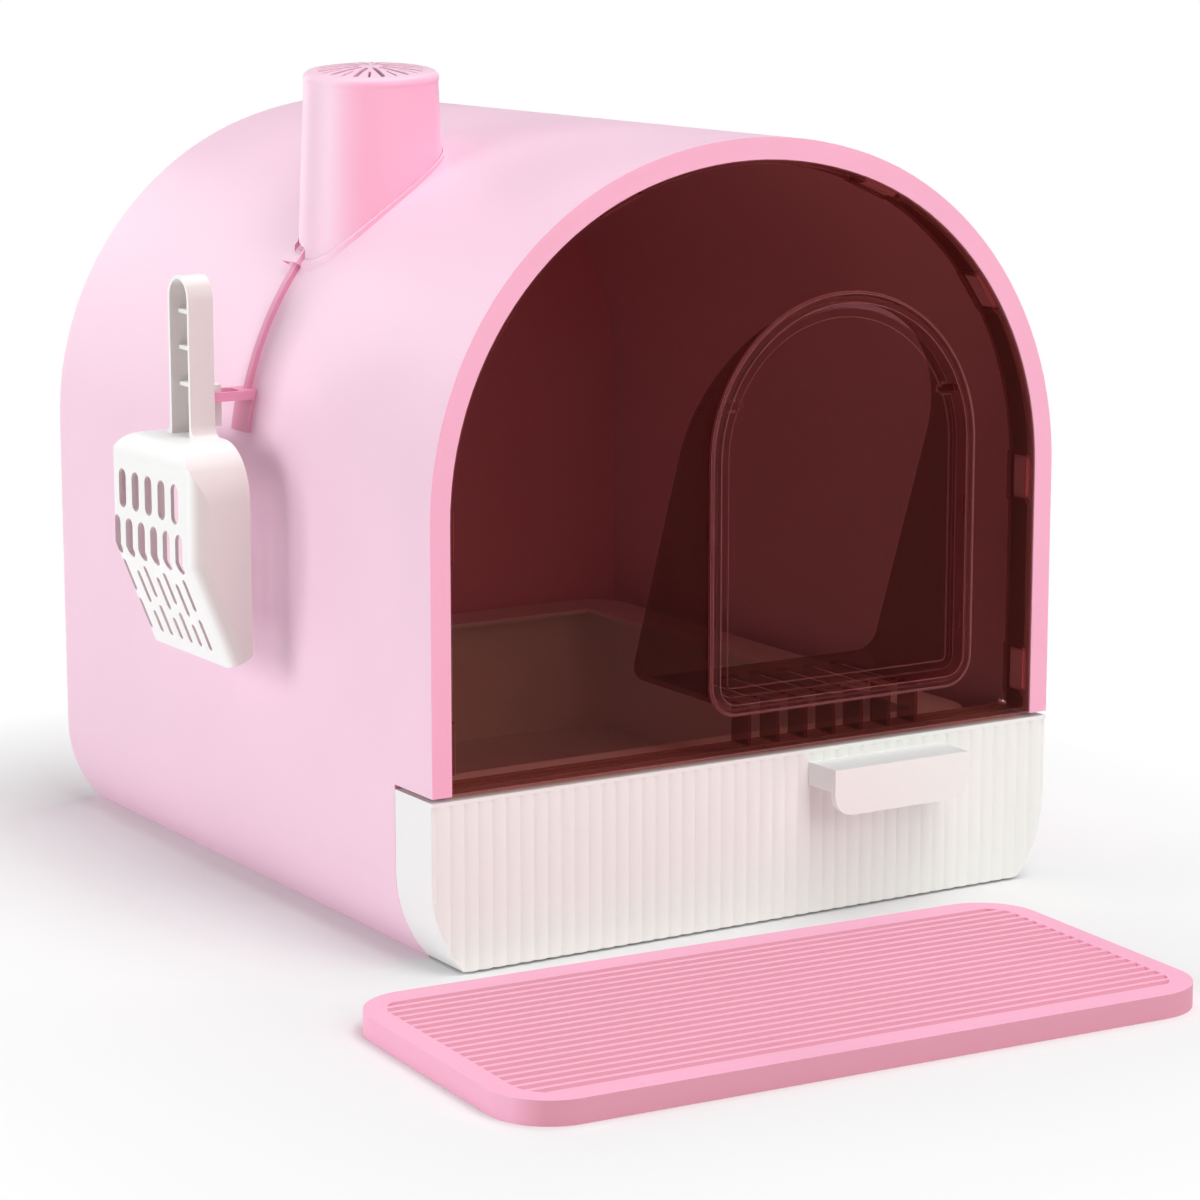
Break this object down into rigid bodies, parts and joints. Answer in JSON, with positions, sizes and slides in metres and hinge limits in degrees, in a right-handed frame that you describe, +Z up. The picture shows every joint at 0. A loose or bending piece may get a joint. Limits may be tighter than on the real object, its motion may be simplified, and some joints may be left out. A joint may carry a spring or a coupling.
{
  "type": "drawer litter box",
  "caption": "Arched cat litter box with a smoky front panel and flap door, a pull-out litter drawer, a deodoriser chimney on the roof, a hanging scoop and a ribbed mat.",
  "frame": {"origin": "on the floor, at the centre of the housing's footprint", "axes": "+X to the right seen from the front, +Y towards the back, +Z up"},
  "size_m": [0.4838, 0.7111, 0.4606],
  "materials": {
    "pink_plastic": "satin moulded polypropylene",
    "deep_pink_plastic": "satin moulded polypropylene",
    "smoky_plastic": "clear tinted, polished",
    "white_plastic": "satin moulded polypropylene",
    "mat_plastic": "matt moulded",
    "screw_steel": "plated",
    "charcoal": "woven pouch"
  },
  "bodies": {
    "housing": {"shell": "pink_plastic", "front_panel": "smoky_plastic", "entry_tunnel": "smoky_plastic", "runner_left": "white_plastic", "runner_right": "white_plastic", "chimney_collar": "pink_plastic", "scoop_hanger": "deep_pink_plastic"},
    "flap": {"door_flap": "smoky_plastic"},
    "drawer": {"litter_tray": "white_plastic", "tray_rim": "white_plastic", "drawer_front": "white_plastic", "drawer_handle": "white_plastic", "handle_screws": "screw_steel", "fascia_screws": "screw_steel"},
    "chimney": {"chimney": "pink_plastic", "deodoriser_basket": "white_plastic", "carbon_pack": "charcoal"},
    "scoop": {"scoop": "white_plastic"},
    "mat": {"mat": "mat_plastic"}
  },
  "joints": [
    {"name": "drawer_slide", "type": "slide", "parent": "housing", "child": "drawer", "axis": [0, -1, 0], "range_m": [0, 0.3]},
    {"name": "flap_hinge", "type": "hinge", "parent": "housing", "child": "flap", "pos_m": [0.0573, -0.2249, 0.286], "axis": [1, 0, 0], "range_deg": [-70, 65]},
    {"name": "chimney_lift", "type": "slide", "parent": "housing", "child": "chimney", "axis": [0, 0, 1], "range_m": [0, 0.06]},
    {"name": "scoop_lift", "type": "slide", "parent": "housing", "child": "scoop", "axis": [0, 0, 1], "range_m": [0, 0.06]},
    {"name": "mat_lift", "type": "slide", "parent": "drawer", "child": "mat", "axis": [0, 0, 1], "range_m": [0, 0.1]}
  ]
}
